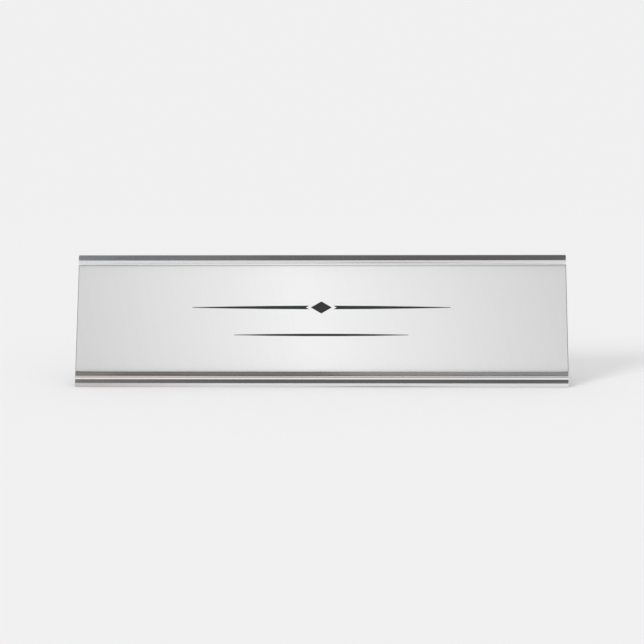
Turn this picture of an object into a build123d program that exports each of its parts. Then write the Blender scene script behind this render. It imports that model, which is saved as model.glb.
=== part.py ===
from build123d import *
import os
from math import cos, hypot, radians, sin, tan

# Desk name plate: a bright aluminium extrusion leans a slide-in two-ply insert back from the desk.
# Millimetres. X runs along the plate, Y to the back, Z up; the origin is on the desk below the middle.

# Insert: a thin silver cap layer laminated on a dark core sheet
insert_length = 254.0
insert_height = 63.5
core_thickness = 1.5
cap_thickness = 0.1
insert_bevel = 0.3

# Engraved rules on the insert, cut through the cap layer and a little into the core
engraving_depth = 0.1
rule_end_width = 0.3
upper_rule_length = 134.0
upper_rule_width = 1.9
upper_rule_height = 5.5
lower_rule_length = 90.0
lower_rule_width = 1.3
lower_rule_height = -9.0
lozenge_length = 11.0
lozenge_height = 6.4
lozenge_margin = 1.4

# Channel that the insert slides in
lean_angle = 20.0
end_overhang = 0.2
seat_gap = 0.05
back_gap = 0.05
front_play = 0.35
top_play = 0.25
channel_edge_radius = 0.25

# Leaning web of the holder, thinned behind the middle of the insert
web_thickness = 2.0
recess_depth = 0.7
land_height = 7.0
seat_wall = 0.9
top_wall = 1.4
top_back_radius = 1.6

# Lower lip, with its half-round bead
lip_reach = 2.05
lip_height = 4.75
lip_foot = 1.87
lip_upper_radius = 1.9
lip_lower_radius = 1.85

# Upper lip, with its half-round bead, whose underside drops towards the channel
rail_reach = 2.6
rail_height = 5.55
rail_upper_radius = 2.6
rail_lower_radius = 3.0
rail_drop = 0.4

# Toe bead along the front of the base, and the groove between it and the lower lip
toe_shoulder = 3.05
toe_radius = 2.35
toe_edge_radius = 0.15
toe_width = 5.0
groove_depth = 1.06
groove_rise = 0.78
groove_radius = 0.12
lip_setback = 0.91
lip_rise = 2.69

# Base web and heel
base_depth = 42.0
base_thickness = 1.6
heel_width = 3.0
heel_top_radius = 1.4
heel_back_radius = 0.6
web_root_radius = 3.0
rib_root_radius = 0.8
rib_edge_radius = 0.3

# Rubber foot pads under the base web, and the height of the metal above the desk
foot_pad_thickness = 1.8
foot_pad_diameter = 10.0
foot_pad_round = 0.4
foot_pad_margin = 1.2
foot_pad_inset = 20.0
desk_gap = 0.05

# Foam grip pads in the recess, behind the insert
grip_pad_length = 25.0
grip_pad_height = 12.0
grip_pad_inset = 30.0
grip_pad_gap = 0.05

# Places worked out from the sizes above
insert_thickness = core_thickness + cap_thickness
slot_width = back_gap + insert_thickness + front_play
channel_root_radius = min(seat_gap, back_gap)
holder_length = insert_length - 2 * end_overhang
slot_top = seat_wall + seat_gap + insert_height + top_play
web_top = slot_top + top_wall
lip_front = slot_width + lip_reach
rail_front = slot_width + rail_reach
rail_foot = web_top - rail_height
base_underside = foot_pad_thickness
base_top = base_underside + base_thickness
lean_sin = sin(radians(lean_angle))
lean_cos = cos(radians(lean_angle))
plate_foot_y = lip_setback - lip_foot * lean_sin + lip_front * lean_cos - base_depth / 2
plate_foot_z = toe_shoulder + lip_rise - lip_foot * lean_cos - lip_front * lean_sin
plate_frame = Plane(
    origin=(0, plate_foot_y, plate_foot_z),
    x_dir=(1, 0, 0),
    z_dir=(0, -lean_cos, lean_sin),
)
toe_front = -base_depth / 2
heel_back = base_depth / 2


def on_plate(up, out):
    """Gives the (y, z) of a point so far up the leaning plate and so far out in front of its web."""
    y = plate_foot_y + up * lean_sin - out * lean_cos
    z = plate_foot_z + up * lean_cos + out * lean_sin
    return (y, z)


def rounded_section(corners):
    """Closes ((y, z), radius) corners into a face across X, each an arc that its sides have room for."""
    most_of_side = 0.98
    count = len(corners)
    points = [Vector(*point) for point, radius in corners]
    before = [(points[i - 1] - points[i]).normalized() for i in range(count)]
    after = [(points[(i + 1) % count] - points[i]).normalized() for i in range(count)]
    halves = [radians(before[i].get_angle(after[i])) / 2 for i in range(count)]
    reaches = [corners[i][1] / tan(halves[i]) for i in range(count)]
    rooms = []
    for i in range(count):
        following = (i + 1) % count
        side = (points[following] - points[i]).length
        rooms.append(min(1.0, most_of_side * side / (reaches[i] + reaches[following])))
    arcs = []
    for i in range(count):
        reach = reaches[i] * min(rooms[i - 1], rooms[i])
        radius = reach * tan(halves[i])
        inward = (before[i] + after[i]).normalized()
        middle = points[i] + inward * (hypot(reach, radius) - radius)
        arcs.append(ThreePointArc(points[i] + before[i] * reach, middle, points[i] + after[i] * reach))
    sides = [Line(arcs[i] @ 1, arcs[(i + 1) % count] @ 0) for i in range(count)]
    return Plane.YZ * make_face(arcs + sides)


def holder():
    """The extrusion: toe bead, lower lip, channel, leaning web, upper rail, base web and heel."""
    web_back = -web_thickness
    web_root_up = (base_top - plate_foot_z + web_thickness * lean_sin) / lean_cos
    toe_back = toe_front + toe_width
    heel_front = heel_back - heel_width
    corners = [
        ((toe_front, desk_gap), toe_edge_radius),
        ((toe_front, toe_shoulder), toe_radius),
        ((toe_front + groove_depth, toe_shoulder + groove_rise), groove_radius),
        (on_plate(lip_foot, lip_front), lip_lower_radius),
        (on_plate(lip_height, lip_front), lip_upper_radius),
        (on_plate(lip_height, slot_width), channel_edge_radius),
        (on_plate(seat_wall, slot_width), channel_root_radius),
        (on_plate(seat_wall, 0), channel_root_radius),
        (on_plate(seat_wall + land_height, 0), channel_edge_radius),
        (on_plate(seat_wall + land_height, -recess_depth), channel_root_radius),
        (on_plate(slot_top - land_height, -recess_depth), channel_root_radius),
        (on_plate(slot_top - land_height, 0), channel_edge_radius),
        (on_plate(slot_top, 0), channel_root_radius),
        (on_plate(slot_top, slot_width), channel_root_radius),
        (on_plate(rail_foot, slot_width), channel_edge_radius),
        (on_plate(rail_foot + rail_drop, rail_front), rail_lower_radius),
        (on_plate(web_top, rail_front), rail_upper_radius),
        (on_plate(web_top, web_back), top_back_radius),
        (on_plate(web_root_up, web_back), web_root_radius),
        ((heel_back, base_top), heel_top_radius),
        ((heel_back, desk_gap), heel_back_radius),
        ((heel_front, desk_gap), rib_edge_radius),
        ((heel_front, base_underside), rib_root_radius),
        ((toe_back, base_underside), rib_root_radius),
        ((toe_back, desk_gap), rib_edge_radius),
    ]
    return extrude(rounded_section(corners), amount=holder_length / 2, both=True)


def swelled_rule(length, width):
    """A rule that swells from narrow square ends to its full width in the middle."""
    end = rule_end_width / 2
    outline = [
        ThreePointArc((-length / 2, end), (0, width / 2), (length / 2, end)),
        Line((length / 2, end), (length / 2, -end)),
        ThreePointArc((length / 2, -end), (0, -width / 2), (-length / 2, -end)),
        Line((-length / 2, -end), (-length / 2, end)),
    ]
    return make_face(outline)


def lozenge(length, height):
    """A diamond on its long axis."""
    points = [(-length / 2, 0), (0, height / 2), (length / 2, 0), (0, -height / 2)]
    return make_face(Polyline(*points, close=True))


def engraving():
    """The rules as flat faces about the insert's middle: the upper one broken by a lozenge."""
    break_scale = 1 + 2 * lozenge_margin / lozenge_height
    gap = lozenge(lozenge_length * break_scale, lozenge_height * break_scale)
    upper = swelled_rule(upper_rule_length, upper_rule_width) - gap
    upper += lozenge(lozenge_length, lozenge_height)
    lower = swelled_rule(lower_rule_length, lower_rule_width)
    return Pos(0, upper_rule_height) * upper + Pos(0, lower_rule_height) * lower


def on_insert(out):
    """Frame on the plate at the middle of the insert, so far out from the insert's back."""
    middle = seat_wall + seat_gap + insert_height / 2
    return plate_frame * Pos(0, middle, back_gap + out)


def insert_core():
    """The dark sheet, with its front edges bevelled and the engraving sunk in its front."""
    sheet = extrude(Rectangle(insert_length, insert_height), amount=core_thickness)
    sheet = chamfer(sheet.faces().sort_by(Axis.Z)[-1].edges(), insert_bevel)
    marks = Pos(0, 0, core_thickness - engraving_depth) * extrude(engraving(), amount=engraving_depth)
    return on_insert(0) * (sheet - marks)


def insert_cap():
    """The silver layer on the core's front between the bevels, cut right through by the engraving."""
    face = Rectangle(insert_length - 2 * insert_bevel, insert_height - 2 * insert_bevel)
    return on_insert(core_thickness) * extrude(face - engraving(), amount=cap_thickness)


def grip_pad(side):
    """A foam pad stuck in the recess near one end, just clear of the insert's back."""
    thickness = recess_depth + back_gap - grip_pad_gap
    pad = extrude(Rectangle(grip_pad_length, grip_pad_height), amount=thickness)
    across = side * (holder_length / 2 - grip_pad_inset - grip_pad_length / 2)
    return on_insert(-back_gap - recess_depth) * Pos(across, 0, 0) * pad


def foot_pad(side, y):
    """A round rubber pad from the base web's underside down to the desk, eased around its lower edge."""
    disc = extrude(Circle(foot_pad_diameter / 2), amount=foot_pad_thickness)
    disc = fillet(disc.edges().group_by(Axis.Z)[0], foot_pad_round)
    return Pos(side * (holder_length / 2 - foot_pad_inset), y, 0) * disc


front_pad_y = toe_front + toe_width + foot_pad_margin + foot_pad_diameter / 2
rear_pad_y = heel_back - heel_width - foot_pad_margin - foot_pad_diameter / 2
nodes = {
    "holder": holder(),
    "insert_core": insert_core(),
    "insert_cap": insert_cap(),
}
for side_name, side in (("left", -1), ("right", 1)):
    nodes["grip_pad_" + side_name] = grip_pad(side)
    nodes["foot_pad_front_" + side_name] = foot_pad(side, front_pad_y)
    nodes["foot_pad_rear_" + side_name] = foot_pad(side, rear_pad_y)

os.makedirs("parts", exist_ok=True)
for name, shape in nodes.items():
    export_step(shape, "parts/" + name + ".step")
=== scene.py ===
"""Looks of the desk name plate: bright holder, silver insert, foam grips, rubber feet, plain studio."""

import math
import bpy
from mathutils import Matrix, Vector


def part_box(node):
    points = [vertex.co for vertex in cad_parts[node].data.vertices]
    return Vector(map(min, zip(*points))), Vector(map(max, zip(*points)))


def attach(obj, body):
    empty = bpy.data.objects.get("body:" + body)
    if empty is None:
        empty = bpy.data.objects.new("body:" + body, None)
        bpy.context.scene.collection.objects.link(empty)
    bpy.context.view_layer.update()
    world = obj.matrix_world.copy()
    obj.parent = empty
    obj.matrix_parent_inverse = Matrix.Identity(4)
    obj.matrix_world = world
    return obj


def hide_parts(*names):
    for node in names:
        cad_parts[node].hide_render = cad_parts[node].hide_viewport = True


bl_info = {
    "name": "Desk Name Plate Looks",
    "version": (1, 0, 0),
    "blender": (4, 5, 0),
    "location": "3D View > Sidebar > Name Plate",
    "description": "Dresses the packed desk name plate and sets it in a plain pale studio",
    "category": "Object",
}

import bmesh
import bpy
from bpy.props import FloatProperty, FloatVectorProperty, IntProperty, PointerProperty
from mathutils import Matrix, Quaternion, Vector

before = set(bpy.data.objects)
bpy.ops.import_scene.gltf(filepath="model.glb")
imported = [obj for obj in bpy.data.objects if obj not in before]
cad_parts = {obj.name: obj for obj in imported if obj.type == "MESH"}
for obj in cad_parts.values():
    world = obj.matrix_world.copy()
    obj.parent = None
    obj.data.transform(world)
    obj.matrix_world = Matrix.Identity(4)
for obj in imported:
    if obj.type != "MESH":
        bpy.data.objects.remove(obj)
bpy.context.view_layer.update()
holder_low, holder_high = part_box("holder")
cap_low, cap_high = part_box("insert_cap")

GRIP_NODES = ("grip_pad_left", "grip_pad_right")
FOOT_NODES = ("foot_pad_front_left", "foot_pad_front_right", "foot_pad_rear_left", "foot_pad_rear_right")

# Sockets of a Mix node that mixes colours
MIX_FACTOR = 0
MIX_BASE = 6
MIX_OVER = 7
MIX_RESULT = 2

# What a ramp gives out at its two ends
RISE = (0.0, 1.0)
FALL = (1.0, 0.0)

# Range that holds nearly all values of the grain
GRAIN_RANGE = (0.3, 0.7)

# Half the width over which a line drawn on the metal fades out at its edges
LINE_SOFTNESS = 0.00006

# Share of a side that the roundings at its two ends may take
MOST_OF_SIDE = 0.98

# Least rounding of a corner that is drawn in
LEAST_ROUNDING = 0.00002

# Edges that turn by more than this stay sharp
SHARP_TURN = math.radians(30.0)

# Place of the sawn ends' finish among the holder's materials
SAWN_FINISH = 1


def length(name, description, default):
    """A length in metres that the panel shows."""
    return FloatProperty(
        name=name, description=description, default=default, min=0.0, precision=5, unit="LENGTH"
    )


def amount(name, description, default):
    """A plain number from nought to one."""
    return FloatProperty(
        name=name, description=description, default=default, min=0.0, max=1.0, subtype="FACTOR"
    )


def angle(name, description, degrees):
    """An angle, written in degrees."""
    return FloatProperty(
        name=name, description=description, default=math.radians(degrees), subtype="ANGLE"
    )


def tone(name, description, default):
    """A linear colour."""
    return FloatVectorProperty(
        name=name, description=description, default=default, min=0.0, max=1.0, subtype="COLOR"
    )


def facets(name, description, default):
    """A number of facets."""
    return IntProperty(name=name, description=description, default=default, min=3, max=128)


class NAMEPLATE_PG_holder(bpy.types.PropertyGroup):
    """Sizes of the holder's section and of its ends."""

    lean: angle("Lean", "How far the plate leans back", 20.0)
    slot_width: length("Slot width", "Width of the channel that the insert slides in", 0.002)
    slot_top: length("Slot top", "Height of the channel's upper end up the plate", 0.0647)
    seat_wall: length("Seat wall", "Metal below the insert's lower edge", 0.0009)
    top_wall: length("Top wall", "Metal above the channel's upper end", 0.0014)
    channel_edge: length("Channel edge", "Rounding of the channel's lips and lands", 0.00025)
    channel_root: length("Channel root", "Rounding in the channel's inner corners", 0.00005)
    web_thickness: length("Web thickness", "Thickness of the leaning web", 0.002)
    recess_depth: length("Recess depth", "Depth of the recess behind the insert", 0.0007)
    land_height: length("Land height", "Height of the lands that the insert lies on", 0.007)
    top_back: length("Top back rounding", "Rounding of the upper rail's back", 0.0016)
    lip_reach: length("Lip reach", "How far the lower lip stands in front of the channel", 0.00205)
    lip_height: length("Lip height", "Height of the lower lip up the plate", 0.00475)
    lip_foot: length("Lip foot", "Height of the lower lip's foot up the plate", 0.00187)
    lip_upper: length("Lip upper rounding", "Rounding of the lower lip's top", 0.0019)
    lip_lower: length("Lip lower rounding", "Rounding of the lower lip's underside", 0.00185)
    rail_reach: length("Rail reach", "How far the upper rail stands in front of the channel", 0.0026)
    rail_height: length("Rail height", "Height of the upper rail's bead", 0.00555)
    rail_upper: length("Rail upper rounding", "Rounding of the upper rail's top", 0.0026)
    rail_lower: length("Rail lower rounding", "Rounding of the upper rail's underside", 0.003)
    rail_drop: length("Rail drop", "How far the rail's underside drops towards the channel", 0.0004)
    toe_shoulder: length("Toe shoulder", "Height of the toe bead's shoulder", 0.00305)
    toe_rounding: length("Toe rounding", "Rounding of the toe bead", 0.00235)
    toe_edge: length("Toe edge", "Rounding of the toe's lower front edge", 0.00015)
    toe_width: length("Toe width", "Thickness of the toe rib", 0.005)
    groove_depth: length("Groove depth", "How far the groove lies behind the toe's front", 0.00106)
    groove_rise: length("Groove rise", "How far the groove lies above the toe's shoulder", 0.00078)
    groove_rounding: length("Groove rounding", "Rounding in the groove", 0.00012)
    lip_setback: length("Lip setback", "How far the lip's foot lies behind the toe's front", 0.00091)
    lip_rise: length("Lip rise", "How far the lip's foot lies above the toe's shoulder", 0.00269)
    base_underside: length("Base underside", "Height of the base web's underside", 0.0018)
    base_thickness: length("Base thickness", "Thickness of the base web", 0.0016)
    heel_width: length("Heel width", "Thickness of the heel rib", 0.003)
    heel_top: length("Heel top rounding", "Rounding of the heel's top", 0.0014)
    heel_back: length("Heel back rounding", "Rounding of the heel's lower back edge", 0.0006)
    web_root: length("Web root", "Rounding between the web and the base", 0.003)
    rib_root: length("Rib root", "Rounding between the ribs and the base web", 0.0008)
    rib_edge: length("Rib edge", "Rounding of the ribs' inner lower edges", 0.0003)
    arc_facets: facets("Arc facets", "Facets in each rounding of the section", 16)
    end_rounding: length("End rounding", "Rounding of the buffed edges at the sawn ends", 0.00045)
    end_facets: facets("End facets", "Facets in the rounding at the sawn ends", 4)


class NAMEPLATE_PG_metal(bpy.types.PropertyGroup):
    """Finish of the holder's metal, with painted highlights, painted shade and painted tints of reflected
    light.
    """

    aluminium: tone("Aluminium", "Colour of the bright aluminium", (0.81, 0.81, 0.82))
    sawn: tone("Sawn ends", "Colour of the sawn ends", (0.72, 0.72, 0.73))
    gloss: amount("Roughness", "Roughness of the polished metal", 0.11)
    haze: amount("Haze", "Strength of the film that buffing leaves on the metal", 0.22)
    # Colours of the painted shade and of the painted highlight on the metal
    painted_shade: tone("Dull places", "Colour where the buffing wheel hardly reaches", (0.485, 0.472, 0.463))
    painted_highlight: tone("Burnished lines", "Colour of the lines that the die burnishes", (0.96, 0.955, 0.95))
    # Tints of painted reflected light
    warm_reflection_tint: tone("Warm film", "Tint of the film on the lower lip", (1.0, 0.94, 0.885))
    rosy_reflection_tint: tone("Rosy film", "Tint on the toe and on the rail's right half", (1.0, 0.945, 0.95))
    cool_reflection_tint: tone("Cool film", "Tint on the rail's left end", (0.94, 0.968, 1.0))
    # Heights of the stripes of painted shade and painted highlight
    edge_stripe: length("Edge stripe", "Height of the dull stripe above the lip's edge", 0.0004)
    stripe_top: length("Stripe top", "How far below the lip's edge the lower dull stripe begins", 0.00042)
    stripe_foot: length("Stripe foot", "How far below the lip's edge the lower dull stripe ends", 0.00102)
    line_foot: length("Line foot", "How far below the lip's edge the burnished line ends", 0.00168)
    rail_line: length("Rail line", "How far below the rail's top its burnished line begins", 0.0044)
    rail_corner: length("Rail corner", "How far below the rail's top its dull corner begins", 0.0052)
    # Heights and width of the painted dark reflection lines
    rail_reflection_line: length("Rail score", "How far below the rail's top its fine dull line runs", 0.00378)
    toe_reflection_line: length("Toe score", "Height of the toe's fine dull line above the desk", 0.00042)
    reflection_line_width: length("Score width", "Width of the fine dull lines", 0.00048)


class NAMEPLATE_PG_insert(bpy.types.PropertyGroup):
    """Finish of the insert's silver layer, with its painted highlight, and of its dark core."""

    # The silver sweep is a painted highlight: bright in the middle, darker at the ends
    silver_highlight: tone("Silver, middle", "Colour at the middle of the silver sweep", (0.82, 0.82, 0.823))
    silver_beyond_highlight: tone("Silver, ends", "Colour at the ends of the silver sweep", (0.602, 0.602, 0.605))
    sweep_turn: angle("Sweep turn", "How far the silver sweep is turned from upright", 12.0)
    core: tone("Core", "Colour of the dark core sheet", (0.03, 0.03, 0.032))


class NAMEPLATE_PG_pads(bpy.types.PropertyGroup):
    """Shapes and finish of the foam grips and the rubber feet."""

    foam: tone("Foam", "Colour of the foam grips", (0.1, 0.1, 0.102))
    grip_corner: length("Grip corner", "Rounding of the foam grips' corners", 0.0015)
    corner_facets: facets("Corner facets", "Facets in the foam grips' corners", 8)
    grip_edge: length("Grip edge", "Softness of the foam grips' front edges", 0.0002)
    edge_facets: facets("Edge facets", "Facets in the foam grips' front edges", 4)
    rubber: tone("Rubber", "Colour of the rubber feet", (0.035, 0.035, 0.036))
    foot_sides: facets("Foot sides", "Facets round a foot", 64)
    foot_draft: length("Foot draft", "How much narrower a foot is at its top", 0.00012)
    foot_edge: length("Foot edge", "Rounding of the feet's lower edge", 0.0004)
    foot_facets: facets("Foot facets", "Facets in the rounding of the feet's lower edge", 6)
    foot_ring: length("Foot ring", "Width of the moulded ring in a foot's underside", 0.0004)
    ring_inset: amount("Ring inset", "How far in the ring lies, as a share of the foot's radius", 0.32)


class NAMEPLATE_PG_stage(bpy.types.PropertyGroup):
    """Floor, light and camera."""

    pale: tone("Pale", "Colour of the floor and of the background", (0.872, 0.872, 0.872))
    floor_reach: length("Floor reach", "From the middle of the floor to its edges", 12.0)
    sky: amount("Room light", "Light from all round", 0.84)
    key: FloatProperty(name="Key light", description="Strength of the key light", default=1.1, min=0.0)
    key_turn: angle("Key turn", "How far to the left the key light stands", 47.0)
    key_rise: angle("Key height", "How high the key light stands", 28.5)
    key_softness: angle("Key softness", "Apparent width of the key light", 22.0)
    dark: amount("Room in front", "Tone of the room in front as the metal mirrors it", 0.133)
    side_low: amount("Room at the sides, low", "Tone low at the sides as the metal mirrors it", 0.7)
    side_high: amount("Room at the sides, high", "Tone high at the sides as the metal mirrors it", 0.3)
    turn: angle("Camera turn", "How far to the right the camera stands", 1.5)
    rise: angle("Camera height", "How high the camera stands", 9.0)
    roll: angle("Camera roll", "How far the camera is tipped sideways", -0.225)
    distance: length("Camera distance", "From the camera to the point that it looks at", 0.86)
    field: length("Field", "Width of the picture at that point", 0.3336)
    target: FloatVectorProperty(
        name="Target",
        description="Point that the camera looks at",
        default=(0.00036, -0.0075, 0.03175),
        subtype="XYZ",
        unit="LENGTH",
    )


def feed(value, target):
    """Links a socket to the target, or sets the target to a number, a vector or a colour."""
    if isinstance(value, bpy.types.NodeSocket):
        target.id_data.links.new(value, target)
    elif target.type == "RGBA":
        target.default_value = (*value, 1.0)
    else:
        target.default_value = value


def feed_named(node, inputs):
    """Feeds a node's inputs by their names, with spaces written as underscores."""
    for name, value in inputs.items():
        feed(value, node.inputs[name.replace("_", " ")])


def feed_in_order(node, *values):
    """Feeds a node's first inputs in their order."""
    for value, target in zip(values, node.inputs):
        feed(value, target)


def add_node(tree, kind, **inputs):
    """Adds a node and feeds the inputs that are named."""
    made = tree.nodes.new(kind)
    feed_named(made, inputs)
    return made


def combine(operation, first, *others):
    """Works a socket and other sockets or numbers into one, from left to right."""
    result = first
    for other in others:
        made = add_node(first.id_data, "ShaderNodeMath")
        made.operation = operation
        feed_in_order(made, result, other)
        result = made.outputs["Value"]
    return result


def sum_of(first, *others):
    """The sum of a socket and other sockets or numbers."""
    return combine("ADD", first, *others)


def product_of(first, *others):
    """The product of a socket and other sockets or numbers."""
    return combine("MULTIPLY", first, *others)


def ramp_of(source, span, values=RISE):
    """A smooth step of source over span, from the first of values to the second."""
    made = add_node(source.id_data, "ShaderNodeMapRange", Value=source, From_Min=span[0],
                    From_Max=span[1], To_Min=values[0], To_Max=values[1])
    made.interpolation_type = "SMOOTHSTEP"
    return made.outputs["Result"]


def band_of(source, span, softness):
    """One inside span and nought outside, with soft edges."""
    low, high = span
    rise = ramp_of(source, (low - softness, low + softness))
    fall = ramp_of(source, (high - softness, high + softness), FALL)
    return product_of(rise, fall)


def mix_colours(factor, base, over, how="MIX"):
    """Lays one colour over another as far as factor says; each is a colour or a socket."""
    made = add_node(factor.id_data, "ShaderNodeMix")
    made.data_type = "RGBA"
    made.blend_type = how
    feed(factor, made.inputs[MIX_FACTOR])
    feed(base, made.inputs[MIX_BASE])
    feed(over, made.inputs[MIX_OVER])
    return made.outputs[MIX_RESULT]


def shaded(colour, share):
    """A colour made darker, or paler where share is over one."""
    return tuple(part * share for part in colour)


def start_group(name, inputs, outputs):
    """A new node group, the sockets that it is given and the sockets that it fills."""
    group = bpy.data.node_groups.new(name, "ShaderNodeTree")
    for label, default in inputs.items():
        kind = "NodeSocketFloat" if isinstance(default, float) else "NodeSocketVector"
        socket = group.interface.new_socket(label, in_out="INPUT", socket_type=kind)
        socket.default_value = default
    for label in outputs:
        group.interface.new_socket(label, in_out="OUTPUT", socket_type="NodeSocketFloat")
    return group, group.nodes.new("NodeGroupInput").outputs, group.nodes.new("NodeGroupOutput").inputs


def grain_group():
    """Fine grain drawn out along one direction: die lines, brushing and moulded texture."""
    found = bpy.data.node_groups.get("drawn_grain")
    if found:
        return found
    inputs = {"Place": (0.0, 0.0, 0.0), "Pitch": (1.0, 1.0, 1.0), "Roughness": 0.6}
    group, given, filled = start_group("drawn_grain", inputs, ["Grain"])
    drawn = add_node(group, "ShaderNodeVectorMath")
    drawn.operation = "MULTIPLY"
    feed_in_order(drawn, given["Place"], given["Pitch"])
    noise = add_node(group, "ShaderNodeTexNoise", Vector=drawn.outputs["Vector"], Scale=1.0, Detail=4.0,
                     Roughness=given["Roughness"])
    feed(noise.outputs["Fac"], filled["Grain"])
    return group


def handling_group():
    """Smears and fine scratches from handling, as two masks."""
    found = bpy.data.node_groups.get("handling")
    if found:
        return found
    smear_range, scratch_range = (0.46, 0.72), (0.66, 0.7)
    inputs = {"Place": (0.0, 0.0, 0.0), "Smear pitch": 40.0, "Scratch pitch": 220.0}
    group, given, filled = start_group("handling", inputs, ["Smear", "Scratch"])
    smears = add_node(group, "ShaderNodeTexNoise", Vector=given["Place"], Scale=given["Smear pitch"],
                      Detail=5.0, Roughness=0.55, Distortion=0.8)
    feed(ramp_of(smears.outputs["Fac"], smear_range), filled["Smear"])
    drawn = add_node(group, "ShaderNodeMapping", Vector=given["Place"], Rotation=(0.3, 0.5, 0.4),
                     Scale=(0.05, 1.0, 1.0))
    scratches = add_node(group, "ShaderNodeTexNoise", Vector=drawn.outputs["Vector"],
                         Scale=given["Scratch pitch"], Detail=2.0, Distortion=1.4)
    feed(ramp_of(scratches.outputs["Fac"], scratch_range), filled["Scratch"])
    return group


def place_group(group, place, **inputs):
    """Places a node group on the given coordinates, with its own values, and gives its outputs."""
    made = add_node(place.id_data, "ShaderNodeGroup")
    made.node_tree = group
    feed_named(made, {"Place": place, **inputs})
    return made.outputs


def grain_on(place, pitch):
    """The grain on the given coordinates, with so many waves to the metre along each axis."""
    return place_group(grain_group(), place, Pitch=pitch)["Grain"]


def handling_on(place, smears, scratches):
    """Smears and scratches on the given coordinates, with so many of each to the metre."""
    return place_group(handling_group(), place, Smear_pitch=smears, Scratch_pitch=scratches)


def start_material(name):
    """A new material, its shader and its Object coordinates."""
    material = bpy.data.materials.new(name)
    material.use_nodes = True
    tree = material.node_tree
    place = add_node(tree, "ShaderNodeTexCoord").outputs["Object"]
    return material, tree.nodes["Principled BSDF"], place


def finish_surface(shader, colour, roughness, height, strength, depth):
    """Gives a shader its colour, its roughness and a relief of that strength and depth."""
    bump = add_node(shader.id_data, "ShaderNodeBump", Height=height, Strength=strength, Distance=depth)
    feed(colour, shader.inputs["Base Color"])
    feed(roughness, shader.inputs["Roughness"])
    feed(bump.outputs["Normal"], shader.inputs["Normal"])


class HolderFront:
    """The holder's front as its finish is drawn on it: the masks of its beads, and steps and stripes."""

    def __init__(self, place, sizes):
        self.lip_edge = sizes.toe_shoulder + sizes.lip_rise
        self.rail_top = holder_high.z
        groove = sizes.toe_shoulder + sizes.groove_rise
        above_groove = (groove - 0.0001, groove)
        bead_depth = (holder_low.y + 0.0015, holder_low.y + 0.003)
        rail_depth = (0.002, 0.003)
        crown_depth = (0.0045, 0.006)
        crown_heights = (self.rail_top - 0.0034, self.rail_top - 0.0026)

        split = add_node(place.id_data, "ShaderNodeSeparateXYZ", Vector=place).outputs
        self.x = split["X"]
        self.z = split["Z"]
        beads = ramp_of(split["Y"], bead_depth, FALL)
        self.lip = product_of(beads, self.upward(above_groove))
        self.toe = product_of(beads, self.upward(above_groove, FALL))
        self.rail = ramp_of(split["Y"], rail_depth, FALL)
        self.crown = product_of(ramp_of(split["Y"], crown_depth, FALL), self.upward(crown_heights))

    def along(self, stretch, values=RISE):
        """A smooth step along the length."""
        return ramp_of(self.x, stretch, values)

    def upward(self, heights, values=RISE):
        """A smooth step between two heights."""
        return ramp_of(self.z, heights, values)

    def stripe(self, heights, softness=LINE_SOFTNESS):
        """A stripe between two heights, all along the length."""
        return band_of(self.z, heights, softness)

    def faded_stripe(self, heights, stretch):
        """A stripe between two heights that fades out to both ends of its stretch."""
        left, right = stretch
        middle = (left + right) / 2
        fade_in = self.along((left, middle))
        fade_out = self.along((middle, right), FALL)
        return product_of(fade_in, fade_out, self.stripe(heights))


def buffing_film(front, place, haze):
    """How metallic the metal shows under the film that buffing leaves, here thicker and there thinner."""
    upper_part = (0.02, 0.05)
    rail_stretch, rail_film = (-0.14, 0.08), (0.58, 0.02)
    lip_top = (front.lip_edge - 0.0002, front.lip_edge + 0.0006)
    lip_middle, lip_film = (-0.005, 0.035), (0.48, 1.05)
    lip_end, lip_thinning = (0.085, 0.125), (1.0, 0.75)
    toe_stretch, toe_film = (-0.13, -0.02), (0.6, 0.12)
    cloud_range, cloud_film = (0.25, 0.6), (0.7, 1.1)

    on_rail = product_of(front.upward(upper_part), front.along(rail_stretch, rail_film))
    along_lip = product_of(front.along(lip_middle, lip_film), front.along(lip_end, lip_thinning))
    on_lip = product_of(front.lip, front.upward(lip_top), along_lip)
    on_toe = product_of(front.toe, front.along(toe_stretch, toe_film))
    clouds = grain_on(place, pitch=(16.0, 160.0, 160.0))
    film = product_of(sum_of(on_rail, on_lip, on_toe), ramp_of(clouds, cloud_range, cloud_film))
    return ramp_of(film, (0.0, 1.0), (1.0, 1.0 - haze))


def painted_highlight_places(front, metal):
    """Where a painted highlight raises the metal's colour: a line above the groove, one under the rail,
    faintly the toe.
    """
    line_heights = (front.lip_edge - metal.line_foot, front.lip_edge - metal.stripe_foot)
    underside_heights = (front.rail_top - metal.rail_corner, front.rail_top - metal.rail_line)
    underside_softness = 0.0001
    toe_heights, toe_share = (0.0022, 0.0028), (0.3, 0.0)

    on_lip = product_of(front.lip, front.stripe(line_heights))
    on_rail = product_of(front.rail, front.stripe(underside_heights, underside_softness))
    on_toe = product_of(front.toe, front.upward(toe_heights, toe_share))
    return sum_of(on_lip, on_rail, on_toe)


def painted_shade_places(front, metal):
    """Painted shade: stripes by the lip's edge, the rail's corner and the toe's left, darkened in colour.
    """
    lower_heights = (front.lip_edge - metal.stripe_foot, front.lip_edge - metal.stripe_top)
    edge_heights = (front.lip_edge, front.lip_edge + metal.edge_stripe)
    edge_stretch, edge_share = (0.0, 0.04), (0.7, 0.0)
    corner_heights, corner_share = (front.rail_top - 0.006, front.rail_top - metal.rail_corner), 0.8
    toe_stretch, toe_share = (-0.13, -0.045), (0.64, 0.0)

    edge_stripe = product_of(front.stripe(edge_heights), front.along(edge_stretch, edge_share))
    on_lip = product_of(front.lip, sum_of(front.stripe(lower_heights), edge_stripe))
    on_rail = product_of(front.rail, front.stripe(corner_heights), corner_share)
    on_toe = product_of(front.toe, front.along(toe_stretch, toe_share))
    return sum_of(on_lip, on_rail, on_toe)


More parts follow.
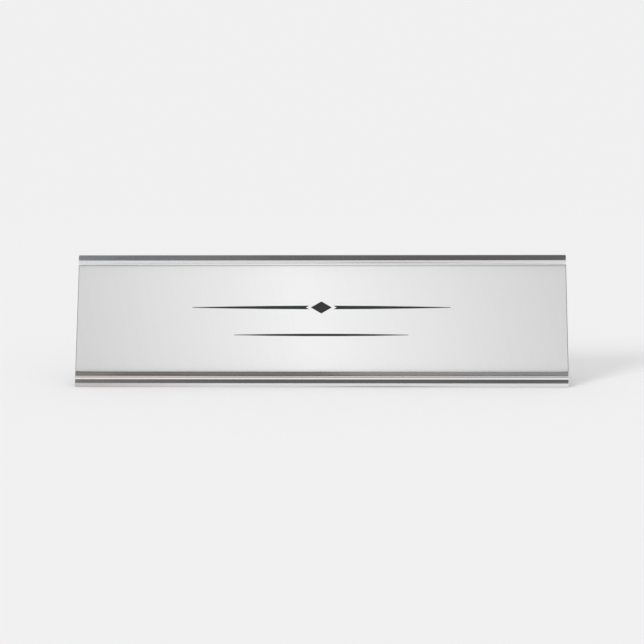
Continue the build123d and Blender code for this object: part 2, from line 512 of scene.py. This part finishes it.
def painted_dark_reflections(front, metal):
    """Painted dark reflections: fine lines along the rail and the toe, and a broader, fainter one along
    the lip's edge.
    """
    half = metal.reflection_line_width / 2
    rail_middle = front.rail_top - metal.rail_reflection_line
    rail_heights, rail_stretch = (rail_middle - half, rail_middle + half), (-0.025, 0.1)
    toe_heights, toe_stretch = (metal.toe_reflection_line - half, metal.toe_reflection_line + half), (-0.02, 0.085)
    lip_heights, lip_stretch = (front.lip_edge - metal.stripe_foot, front.lip_edge), (-0.07, 0.015)
    lip_share = 0.5

    on_rail = product_of(front.rail, front.faded_stripe(rail_heights, rail_stretch))
    on_toe = product_of(front.toe, front.faded_stripe(toe_heights, toe_stretch))
    on_lip = product_of(front.lip, front.faded_stripe(lip_heights, lip_stretch), lip_share)
    return sum_of(on_rail, on_toe, on_lip)


def painted_reflection_tints(front, colour, metal):
    """Painted tints of reflected light: warm on the lip, rosy on toe and rail, cool at the rail's left
    end.
    """
    warm_stretch = (0.02, 0.12)
    warm_heights, warm_share = (front.lip_edge, front.lip_edge + 0.0004), (0.5, 1.0)
    rosy_toe, rosy_toe_share = (-0.08, -0.02), (0.7, 0.0)
    rosy_rail, rosy_rail_softness = (0.03, 0.1), 0.015
    cool_rail = (-0.1, -0.05)

    warm = product_of(front.lip, front.along(warm_stretch, FALL), front.upward(warm_heights, warm_share))
    on_toe = product_of(front.toe, front.along(rosy_toe, rosy_toe_share))
    on_rail = product_of(front.crown, band_of(front.x, rosy_rail, rosy_rail_softness))
    rosy = sum_of(on_toe, on_rail)
    cool = product_of(front.crown, front.along(cool_rail, FALL))
    # Each tint is painted reflected light, laid over the colour
    for film, tint in ((warm, metal.warm_reflection_tint), (rosy, metal.rosy_reflection_tint), (cool, metal.cool_reflection_tint)):
        colour = mix_colours(film, colour, tint, how="MULTIPLY")
    return colour


def metal_colour(front, die_lines, metal):
    """Aluminium with faint die lines, with painted highlights, painted shade, painted dark reflections
    and painted tints of reflected light.
    """
    line_range, line_shade = (0.3, 0.6), 0.93

    lines = ramp_of(die_lines, line_range)
    colour = mix_colours(lines, shaded(metal.aluminium, line_shade), metal.aluminium)
    # Painted highlights, then painted shade and painted dark reflections
    colour = mix_colours(painted_highlight_places(front, metal), colour, metal.painted_highlight)
    painted_shade = sum_of(painted_shade_places(front, metal), painted_dark_reflections(front, metal))
    colour = mix_colours(painted_shade, colour, metal.painted_shade)
    return painted_reflection_tints(front, colour, metal)


def bright_aluminium(sizes, metal):
    """Polished extruded aluminium: die lines along it, the film of buffing, smears and fine scratches,
    with painted highlights, shade and reflection tints in its colour.
    """
    material, shader, place = start_material("bright_aluminium")
    fine_range = (0.3, 0.75)
    line_roughness = (metal.gloss * 0.8, metal.gloss * 1.4)
    smear_share, scratch_share, fine_share = 0.02, 0.03, 0.35

    front = HolderFront(place, sizes)
    broad = grain_on(place, pitch=(1.5, 1400.0, 1400.0))
    fine = grain_on(place, pitch=(4.0, 9000.0, 9000.0))
    marks = handling_on(place, smears=45.0, scratches=260.0)
    smears = product_of(marks["Smear"], smear_share)
    scratches = product_of(marks["Scratch"], scratch_share)
    roughness = sum_of(ramp_of(fine, fine_range, line_roughness), smears, scratches)
    relief = sum_of(broad, product_of(fine, fine_share))
    feed(buffing_film(front, place, metal.haze), shader.inputs["Metallic"])
    colour = metal_colour(front, broad, metal)
    finish_surface(shader, colour, roughness, relief, strength=0.06, depth=0.00004)
    return material


def sawn_aluminium(colour):
    """The cut ends: shallow curved saw marks under a light buff."""
    material, shader, place = start_material("sawn_aluminium")
    tree = material.node_tree
    to_saw_centre, flat = (0.0, 0.16, -0.11), (0.0, 1.0, 1.0)
    mark_shade, grit_share = 0.76, 0.5
    rough = (0.26, 0.42)

    shader.inputs["Metallic"].default_value = 1.0
    centred = add_node(tree, "ShaderNodeMapping", Vector=place, Location=to_saw_centre, Scale=flat)
    saw = add_node(tree, "ShaderNodeTexWave", Vector=centred.outputs["Vector"], Scale=320.0,
                   Distortion=1.6, Detail=2.0, Detail_Scale=0.6)
    saw.wave_type = "RINGS"
    saw.rings_direction = "SPHERICAL"
    marks = saw.outputs["Fac"]
    grit = grain_on(place, pitch=(2500.0, 2500.0, 2500.0))
    marked = mix_colours(marks, shaded(colour, mark_shade), colour)
    roughness = ramp_of(grit, GRAIN_RANGE, rough)
    relief = sum_of(marks, product_of(grit, grit_share))
    finish_surface(shader, marked, roughness, relief, strength=0.25, depth=0.00004)
    return material


def silver_layer(finish):
    """The insert's silver face: a slanting painted highlight, from darker ends to a bright middle,
    faintly brushed.
    """
    material, shader, place = start_material("silver_layer")
    tree = material.node_tree
    highlight_stretch = (0.45, 0.5)
    brushing_range, wander = (0.25, 0.75), (-0.014, 0.014)
    satin, smear_share = (0.3, 0.38), 0.06

    middle = (cap_low + cap_high) / 2
    half = (cap_high.x - cap_low.x) / 2
    centred = add_node(tree, "ShaderNodeMapping", Vector=place, Location=(0.0, 0.0, -middle.z))
    turned = add_node(tree, "ShaderNodeMapping", Vector=centred.outputs["Vector"],
                      Rotation=(0.0, finish.sweep_turn, 0.0)).outputs["Vector"]
    across = add_node(tree, "ShaderNodeSeparateXYZ", Vector=turned).outputs["X"]
    along = add_node(tree, "ShaderNodeMapRange", Value=across, From_Min=-half, From_Max=half)
    brushing = grain_on(turned, pitch=(700.0, 6.0, 6.0))
    streaks = ramp_of(brushing, brushing_range, wander)
    # The sweep is a painted highlight in the silver's colour
    sweep = add_node(tree, "ShaderNodeValToRGB", Fac=sum_of(along.outputs["Result"], streaks))
    stops = sweep.color_ramp.elements
    for end in stops:
        end.color = (*finish.silver_beyond_highlight, 1.0)
    for position in highlight_stretch:
        stops.new(position).color = (*finish.silver_highlight, 1.0)
    marks = handling_on(place, smears=30.0, scratches=150.0)
    smears = product_of(marks["Smear"], smear_share)
    roughness = sum_of(ramp_of(brushing, brushing_range, satin), smears)
    finish_surface(shader, sweep.outputs["Color"], roughness, brushing, strength=0.05, depth=0.00002)
    return material


def dark_core(colour):
    """The core sheet: charcoal plastic with a fine moulded grain, paler where it was cut."""
    material, shader, place = start_material("dark_core")
    worn_range, worn_share, worn_shade = (0.45, 0.8), (0.0, 0.6), 1.7
    scratch_share = 0.4
    rough = (0.38, 0.55)

    grain = grain_on(place, pitch=(1800.0, 1800.0, 1800.0))
    marks = handling_on(place, smears=60.0, scratches=320.0)
    scratches = product_of(marks["Scratch"], scratch_share)
    worn = sum_of(ramp_of(grain, worn_range, worn_share), scratches)
    charcoal = mix_colours(worn, colour, shaded(colour, worn_shade))
    roughness = ramp_of(grain, GRAIN_RANGE, rough)
    finish_surface(shader, charcoal, roughness, grain, strength=0.15, depth=0.00003)
    return material


def cell_foam(colour):
    """Closed-cell foam: small cut cells, open and matt, with painted shade in the cells' hollows."""
    material, shader, place = start_material("cell_foam")
    tree = material.node_tree
    cell_range, cell_shade = (0.15, 0.75), 0.45
    rough, grain_share = (0.85, 0.98), 0.4

    cells = add_node(tree, "ShaderNodeTexVoronoi", Vector=place, Scale=2600.0, Randomness=1.0)
    grain = grain_on(place, pitch=(900.0, 900.0, 900.0))
    walls = ramp_of(cells.outputs["Distance"], cell_range)
    # Painted shade: the cells' hollows are darker in colour where the relief is lowest
    cells_with_painted_shade = mix_colours(walls, shaded(colour, cell_shade), colour)
    roughness = ramp_of(grain, GRAIN_RANGE, rough)
    relief = sum_of(walls, product_of(grain, grain_share))
    finish_surface(shader, cells_with_painted_shade, roughness, relief, strength=0.6, depth=0.00015)
    return material


def foot_rubber(colour):
    """Moulded rubber: matt, faintly pitted, with a bloom of dust."""
    material, shader, place = start_material("foot_rubber")
    dust_shade = 2.2
    rough = (0.62, 0.8)

    grain = grain_on(place, pitch=(2200.0, 2200.0, 2200.0))
    marks = handling_on(place, smears=260.0, scratches=700.0)
    dusty = mix_colours(marks["Smear"], colour, shaded(colour, dust_shade))
    roughness = ramp_of(grain, GRAIN_RANGE, rough)
    finish_surface(shader, dusty, roughness, grain, strength=0.3, depth=0.00005)
    return material


def add_object(name, data):
    """Puts an object in the scene, at the origin."""
    made = bpy.data.objects.new(name, data)
    bpy.context.scene.collection.objects.link(made)
    return made


def add_mesh(bm, name, materials):
    """Puts a modelled mesh in the scene with its materials."""
    mesh = bpy.data.meshes.new(name)
    bm.to_mesh(mesh)
    bm.free()
    for material in materials:
        mesh.materials.append(material)
    return add_object(name, mesh)


def keep_piece(bm, name, materials, body, node):
    """Makes a finished piece of the mesh, riding on its body in place of the node."""
    piece = add_mesh(bm, name, materials)
    piece.data.set_sharp_from_angle(angle=SHARP_TURN)
    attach(piece, body)
    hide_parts(node)
    return piece


def dress_node(node, material):
    """Gives a CAD node that stays in view its finish."""
    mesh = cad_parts[node].data
    mesh.materials.clear()
    mesh.materials.append(material)


def round_off(bm, geometry, reach, count, affect="EDGES"):
    """Rounds off edges or corners with so many facets."""
    bmesh.ops.bevel(bm, geom=geometry, offset=reach, offset_type="OFFSET", affect=affect, segments=count,
                    profile=0.5, material=-1)


def turn_outward(bm):
    """Turns all faces outwards and shades them smooth."""
    bmesh.ops.recalc_face_normals(bm, faces=bm.faces[:])
    for face in bm.faces:
        face.smooth = True


def holder_corners(sizes):
    """The corners of the holder's section with their roundings, from the toe's front up and round."""
    sine, cosine = math.sin(sizes.lean), math.cos(sizes.lean)
    front, back, low = holder_low.y, holder_high.y, holder_low.z
    lip_front = sizes.slot_width + sizes.lip_reach
    rail_front = sizes.slot_width + sizes.rail_reach
    foot_y = front + sizes.lip_setback - sizes.lip_foot * sine + lip_front * cosine
    foot_z = sizes.toe_shoulder + sizes.lip_rise - sizes.lip_foot * cosine - lip_front * sine
    base_top = sizes.base_underside + sizes.base_thickness
    web_top = sizes.slot_top + sizes.top_wall
    web_foot = (base_top - foot_z + sizes.web_thickness * sine) / cosine
    rail_foot = web_top - sizes.rail_height
    land_low = sizes.seat_wall + sizes.land_height
    land_high = sizes.slot_top - sizes.land_height
    toe_back = front + sizes.toe_width
    heel_front = back - sizes.heel_width
    groove = (front + sizes.groove_depth, sizes.toe_shoulder + sizes.groove_rise)

    def on_plate(up, out):
        """The (y, z) of a point so far up the leaning plate and so far out in front of its web."""
        return (foot_y + up * sine - out * cosine, foot_z + up * cosine + out * sine)

    return [
        ((front, low), sizes.toe_edge),
        ((front, sizes.toe_shoulder), sizes.toe_rounding),
        (groove, sizes.groove_rounding),
        (on_plate(sizes.lip_foot, lip_front), sizes.lip_lower),
        (on_plate(sizes.lip_height, lip_front), sizes.lip_upper),
        (on_plate(sizes.lip_height, sizes.slot_width), sizes.channel_edge),
        (on_plate(sizes.seat_wall, sizes.slot_width), sizes.channel_root),
        (on_plate(sizes.seat_wall, 0.0), sizes.channel_root),
        (on_plate(land_low, 0.0), sizes.channel_edge),
        (on_plate(land_low, -sizes.recess_depth), sizes.channel_root),
        (on_plate(land_high, -sizes.recess_depth), sizes.channel_root),
        (on_plate(land_high, 0.0), sizes.channel_edge),
        (on_plate(sizes.slot_top, 0.0), sizes.channel_root),
        (on_plate(sizes.slot_top, sizes.slot_width), sizes.channel_root),
        (on_plate(rail_foot, sizes.slot_width), sizes.channel_edge),
        (on_plate(rail_foot + sizes.rail_drop, rail_front), sizes.rail_lower),
        (on_plate(web_top, rail_front), sizes.rail_upper),
        (on_plate(web_top, -sizes.web_thickness), sizes.top_back),
        (on_plate(web_foot, -sizes.web_thickness), sizes.web_root),
        ((back, base_top), sizes.heel_top),
        ((back, low), sizes.heel_back),
        ((heel_front, low), sizes.rib_edge),
        ((heel_front, sizes.base_underside), sizes.rib_root),
        ((toe_back, sizes.base_underside), sizes.rib_root),
        ((toe_back, low), sizes.rib_edge),
    ]


def draw_in(corners, distance):
    """Moves a section's corners evenly inwards all round, with roundings to suit."""
    count = len(corners)
    points = [Vector(point) for point, rounding in corners]
    ahead = [(points[(i + 1) % count] - points[i]).normalized() for i in range(count)]
    moved = []
    for i in range(count):
        before, after = ahead[i - 1], ahead[i]
        inward_before = Vector((before.y, -before.x))
        inward_after = Vector((after.y, -after.x))
        shift = (inward_before + inward_after) / (1.0 + inward_before.dot(inward_after))
        rounding = corners[i][1]
        if before.x * after.y - before.y * after.x < 0.0:
            rounding = max(rounding - distance, LEAST_ROUNDING)
        else:
            rounding += distance
        moved.append((points[i] + shift * distance, rounding))
    return moved


def section_face(bm, corners, x, arc_facets):
    """Adds the section at x as one face and rounds its corners, as far as its sides have room."""
    count = len(corners)
    points = [point for point, rounding in corners]
    reaches = []
    for i, (point, rounding) in enumerate(corners):
        half_turn = (points[i - 1] - point).angle(points[(i + 1) % count] - point) / 2
        reaches.append(rounding / math.tan(half_turn))
    rooms = []
    for i in range(count):
        following = (i + 1) % count
        side = (points[following] - points[i]).length
        rooms.append(MOST_OF_SIDE * side / (reaches[i] + reaches[following]))
    verts = [bm.verts.new((x, point.x, point.y)) for point in points]
    known = set(bm.faces)
    bm.faces.new(verts)
    for i in range(count):
        reach = reaches[i] * min(1.0, rooms[i - 1], rooms[i])
        round_off(bm, [verts[i]], reach, arc_facets, affect="VERTICES")
    return next(face for face in bm.faces if face not in known)


def end_places(rounding, count):
    """Places along X, with how far the section is drawn in at each, that round off both ends."""
    left = []
    for step in range(count, -1, -1):
        turn = math.radians(90.0 * step / count)
        x = holder_low.x + rounding * (1.0 - math.sin(turn))
        left.append((x, rounding * (1.0 - math.cos(turn))))
    return left + [(-x, drawn_in) for x, drawn_in in reversed(left)]


def holder_mesh(sizes):
    """The holder's section swept along its length, with rounded edges at the flat sawn ends."""
    corners = holder_corners(sizes)
    bm = bmesh.new()
    sections = []
    outlines = []
    for x, drawn_in in end_places(sizes.end_rounding, sizes.end_facets):
        section = section_face(bm, draw_in(corners, drawn_in), x, sizes.arc_facets)
        sections.append(section)
        outlines.append(section.edges[:])
    bmesh.ops.delete(bm, geom=sections[1:-1], context="FACES_ONLY")
    for near, far in zip(outlines, outlines[1:]):
        bmesh.ops.bridge_loops(bm, edges=near + far)
    turn_outward(bm)
    for end in (sections[0], sections[-1]):
        end.smooth = False
        end.material_index = SAWN_FINISH
    return bm


def grip_mesh(low, high, thickness, lean, finish):
    """A foam grip in its node's box: a leaning slab with rounded corners and soft front edges."""
    tall = (high.z - low.z - thickness * math.sin(lean)) / math.cos(lean)
    bm = bmesh.new()
    bmesh.ops.create_cube(bm, size=1.0)
    bmesh.ops.scale(bm, vec=(high.x - low.x, thickness, tall), verts=bm.verts[:])
    through = [edge for edge in bm.edges if edge.verts[0].co.y * edge.verts[1].co.y < 0.0]
    round_off(bm, through, finish.grip_corner, finish.corner_facets)
    front = [edge for edge in bm.edges if all(vert.co.y < 0.0 for vert in edge.verts)]
    round_off(bm, front, finish.grip_edge, finish.edge_facets)
    bmesh.ops.rotate(bm, cent=(0.0, 0.0, 0.0), matrix=Matrix.Rotation(-lean, 3, "X"), verts=bm.verts[:])
    bmesh.ops.translate(bm, vec=(low + high) / 2, verts=bm.verts[:])
    turn_outward(bm)
    return bm


def lowest_face(bm):
    """The face whose middle lies lowest."""
    return min(bm.faces, key=lambda face: face.calc_center_median().z)


def foot_mesh(low, high, finish):
    """A rubber foot in its node's box: drafted, eased below, with a shallow ring in its underside."""
    radius = (high.x - low.x) / 2
    half_ring = finish.foot_ring / 2
    bm = bmesh.new()
    bmesh.ops.create_cone(bm, cap_ends=True, segments=finish.foot_sides, radius1=radius,
                          radius2=radius - finish.foot_draft, depth=high.z - low.z)
    round_off(bm, lowest_face(bm).edges[:], finish.foot_edge, finish.foot_facets)
    under = lowest_face(bm)
    ring_steps = ((radius * finish.ring_inset, 0.0), (half_ring, -half_ring), (half_ring, half_ring))
    for inset, depth in ring_steps:
        bmesh.ops.inset_region(bm, faces=[under], thickness=inset, depth=depth, use_even_offset=True)
    bmesh.ops.translate(bm, vec=(low + high) / 2, verts=bm.verts[:])
    turn_outward(bm)
    return bm


class NAMEPLATE_OT_holder(bpy.types.Operator):
    """Sweep the holder's section along its length and finish its metal"""

    bl_idname = "nameplate.holder"
    bl_label = "Holder"

    def execute(self, context):
        sizes = context.scene.nameplate_holder
        metal = context.scene.nameplate_metal
        materials = [bright_aluminium(sizes, metal), sawn_aluminium(metal.sawn)]
        keep_piece(holder_mesh(sizes), "bright_holder", materials, "holder", "holder")
        return {"FINISHED"}


class NAMEPLATE_OT_insert(bpy.types.Operator):
    """Finish the insert's silver layer and its dark core"""

    bl_idname = "nameplate.insert"
    bl_label = "Insert"

    def execute(self, context):
        finish = context.scene.nameplate_insert
        dress_node("insert_cap", silver_layer(finish))
        dress_node("insert_core", dark_core(finish.core))
        return {"FINISHED"}


class NAMEPLATE_OT_grips(bpy.types.Operator):
    """Cut the foam grips to shape, with rounded corners and soft front edges"""

    bl_idname = "nameplate.grips"
    bl_label = "Foam grips"

    def execute(self, context):
        finish = context.scene.nameplate_pads
        sizes = context.scene.nameplate_holder
        foam = cell_foam(finish.foam)
        for node in GRIP_NODES:
            low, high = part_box(node)
            bm = grip_mesh(low, high, sizes.recess_depth, sizes.lean, finish)
            name = node.replace("grip_pad", "foam_grip")
            grip = keep_piece(bm, name, [foam], "holder", node)
        return {"FINISHED"}


class NAMEPLATE_OT_feet(bpy.types.Operator):
    """Mould the rubber feet, eased at the lower edge and with a shallow ring in the underside"""

    bl_idname = "nameplate.feet"
    bl_label = "Rubber feet"

    def execute(self, context):
        finish = context.scene.nameplate_pads
        rubber = foot_rubber(finish.rubber)
        for node in FOOT_NODES:
            low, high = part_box(node)
            name = node.replace("foot_pad", "rubber_foot")
            keep_piece(foot_mesh(low, high, finish), name, [rubber], "holder", node)
        return {"FINISHED"}


def mix_shaders(factor, base, over):
    """Goes from one shader to another by factor."""
    made = add_node(factor.id_data, "ShaderNodeMixShader")
    feed_in_order(made, factor, base, over)
    return made.outputs["Shader"]


def studio_floor(pale):
    """A plain pale floor that keeps the object's shadow and goes over into the background further off."""
    material, shader, place = start_material("studio_floor")
    tree = material.node_tree
    fade = (0.35, 1.1)

    feed(pale, shader.inputs["Base Color"])
    shader.inputs["Roughness"].default_value = 0.9
    shader.inputs["Specular IOR Level"].default_value = 0.0
    distance = add_node(tree, "ShaderNodeVectorMath")
    distance.operation = "LENGTH"
    feed_in_order(distance, place)
    to_camera = add_node(tree, "ShaderNodeLightPath").outputs["Is Camera Ray"]
    far = product_of(ramp_of(distance.outputs["Value"], fade), to_camera)
    plain = add_node(tree, "ShaderNodeEmission", Color=pale)
    surface = mix_shaders(far, shader.outputs["BSDF"], plain.outputs["Emission"])
    feed(surface, tree.nodes["Material Output"].inputs["Surface"])
    return material


def mirrored_room(tree, stage):
    """The room as the metal mirrors it: the pale sweep behind, dark in front, paler low at the sides."""
    behind_span = (0.5, 0.95)
    side_span = (0.25, 0.65)
    up_span = (0.1, 0.7)

    place = add_node(tree, "ShaderNodeTexCoord").outputs["Generated"]
    direction = add_node(tree, "ShaderNodeSeparateXYZ", Vector=place).outputs
    sideways = add_node(tree, "ShaderNodeMath")
    sideways.operation = "ABSOLUTE"
    feed_in_order(sideways, direction["X"])
    behind = ramp_of(direction["Y"], behind_span)
    to_side = ramp_of(sideways.outputs["Value"], side_span)
    upward = ramp_of(direction["Z"], up_span)
    depth = mix_colours(behind, (stage.dark,) * 3, stage.pale)
    sides = mix_colours(upward, (stage.side_low,) * 3, (stage.side_high,) * 3)
    return mix_colours(to_side, depth, sides)


def studio_world(stage):
    """Even room light, a pale background for the camera and a darker room for the metal to mirror."""
    world = bpy.data.worlds.new("studio")
    bpy.context.scene.world = world
    world.use_nodes = True
    tree = world.node_tree
    tree.nodes.clear()

    def light(colour, strength=1.0):
        """Light of one colour, or of a colour that changes with direction."""
        made = add_node(tree, "ShaderNodeBackground", Color=colour, Strength=strength)
        return made.outputs["Background"]

    # A matt surface is lit by the even room, also where that light comes by way of the metal
    ray = add_node(tree, "ShaderNodeLightPath").outputs
    unscattered = ramp_of(ray["Diffuse Depth"], (0.0, 1.0), FALL)
    as_mirror = product_of(ray["Is Glossy Ray"], unscattered)
    straight = sum_of(ray["Is Camera Ray"], ray["Is Transmission Ray"])
    even = light((1.0, 1.0, 1.0), stage.sky)
    lit = mix_shaders(as_mirror, even, light(mirrored_room(tree, stage)))
    surface = mix_shaders(straight, lit, light(stage.pale))
    add_node(tree, "ShaderNodeOutputWorld", Surface=surface)


def toward(turn, rise):
    """The direction from the object to a point so far round to the right of the front and so high."""
    return Vector((math.sin(turn) * math.cos(rise), -math.cos(turn) * math.cos(rise), math.sin(rise)))


def facing(direction):
    """The turn of a lamp or a camera that looks along direction, upright."""
    return direction.to_track_quat("-Z", "Y")


def add_floor(stage):
    """Lays the floor."""
    bm = bmesh.new()
    bmesh.ops.create_grid(bm, x_segments=1, y_segments=1, size=stage.floor_reach)
    floor = add_mesh(bm, "floor", [studio_floor(stage.pale)])


def add_key_light(stage):
    """Hangs the soft key light, which the metal doesn't mirror."""
    lamp = bpy.data.lights.new("key", "SUN")
    lamp.energy = stage.key
    lamp.angle = stage.key_softness
    key = add_object("key", lamp)
    key.visible_glossy = False
    key.rotation_euler = facing(-toward(-stage.key_turn, stage.key_rise)).to_euler()


def add_camera(stage):
    """Sets up the camera."""
    view = bpy.data.cameras.new("camera")
    view.sensor_width = 36.0
    view.lens = view.sensor_width * stage.distance / stage.field
    camera = add_object("camera", view)
    back = toward(stage.turn, stage.rise)
    tipped = Quaternion((0.0, 0.0, 1.0), stage.roll)
    camera.location = Vector(stage.target) + back * stage.distance
    camera.rotation_euler = (facing(-back) @ tipped).to_euler()
    bpy.context.scene.camera = camera


class NAMEPLATE_OT_stage(bpy.types.Operator):
    """Set the floor, the light and the camera"""

    bl_idname = "nameplate.stage"
    bl_label = "Stage"

    def execute(self, context):
        stage = context.scene.nameplate_stage
        add_floor(stage)
        studio_world(stage)
        add_key_light(stage)
        add_camera(stage)
        context.scene.view_settings.view_transform = "Standard"
        return {"FINISHED"}


class NAMEPLATE_PT_panel(bpy.types.Panel):
    """Lists the pieces and the stage"""

    bl_idname = "NAMEPLATE_PT_panel"
    bl_label = "Name Plate"
    bl_space_type = "VIEW_3D"
    bl_region_type = "UI"
    bl_category = "Name Plate"

    def draw(self, context):
        boxes = (
            (("nameplate.holder",), ("nameplate_holder", "nameplate_metal")),
            (("nameplate.insert",), ("nameplate_insert",)),
            (("nameplate.grips", "nameplate.feet"), ("nameplate_pads",)),
            (("nameplate.stage",), ("nameplate_stage",)),
        )
        for operators, groups in boxes:
            box = self.layout.box()
            for operator in operators:
                box.operator(operator)
            for group in groups:
                settings = getattr(context.scene, group)
                for name in SETTINGS[group].__annotations__:
                    box.prop(settings, name)


SETTINGS = {
    "nameplate_holder": NAMEPLATE_PG_holder,
    "nameplate_metal": NAMEPLATE_PG_metal,
    "nameplate_insert": NAMEPLATE_PG_insert,
    "nameplate_pads": NAMEPLATE_PG_pads,
    "nameplate_stage": NAMEPLATE_PG_stage,
}
CLASSES = (
    *SETTINGS.values(),
    NAMEPLATE_OT_holder,
    NAMEPLATE_OT_insert,
    NAMEPLATE_OT_grips,
    NAMEPLATE_OT_feet,
    NAMEPLATE_OT_stage,
    NAMEPLATE_PT_panel,
)


def register():
    """Registers the classes and hangs their settings on the scene."""
    for made in CLASSES:
        bpy.utils.register_class(made)
    for name, group in SETTINGS.items():
        setattr(bpy.types.Scene, name, PointerProperty(type=group))


def unregister():
    """Takes the settings off the scene and unregisters the classes."""
    for name in SETTINGS:
        delattr(bpy.types.Scene, name)
    for made in reversed(CLASSES):
        bpy.utils.unregister_class(made)


def main():
    """Registers the classes and builds every piece and the stage."""
    register()
    bpy.ops.nameplate.holder()
    bpy.ops.nameplate.insert()
    bpy.ops.nameplate.grips()
    bpy.ops.nameplate.feet()
    bpy.ops.nameplate.stage()


if __name__ == "__main__":
    main()
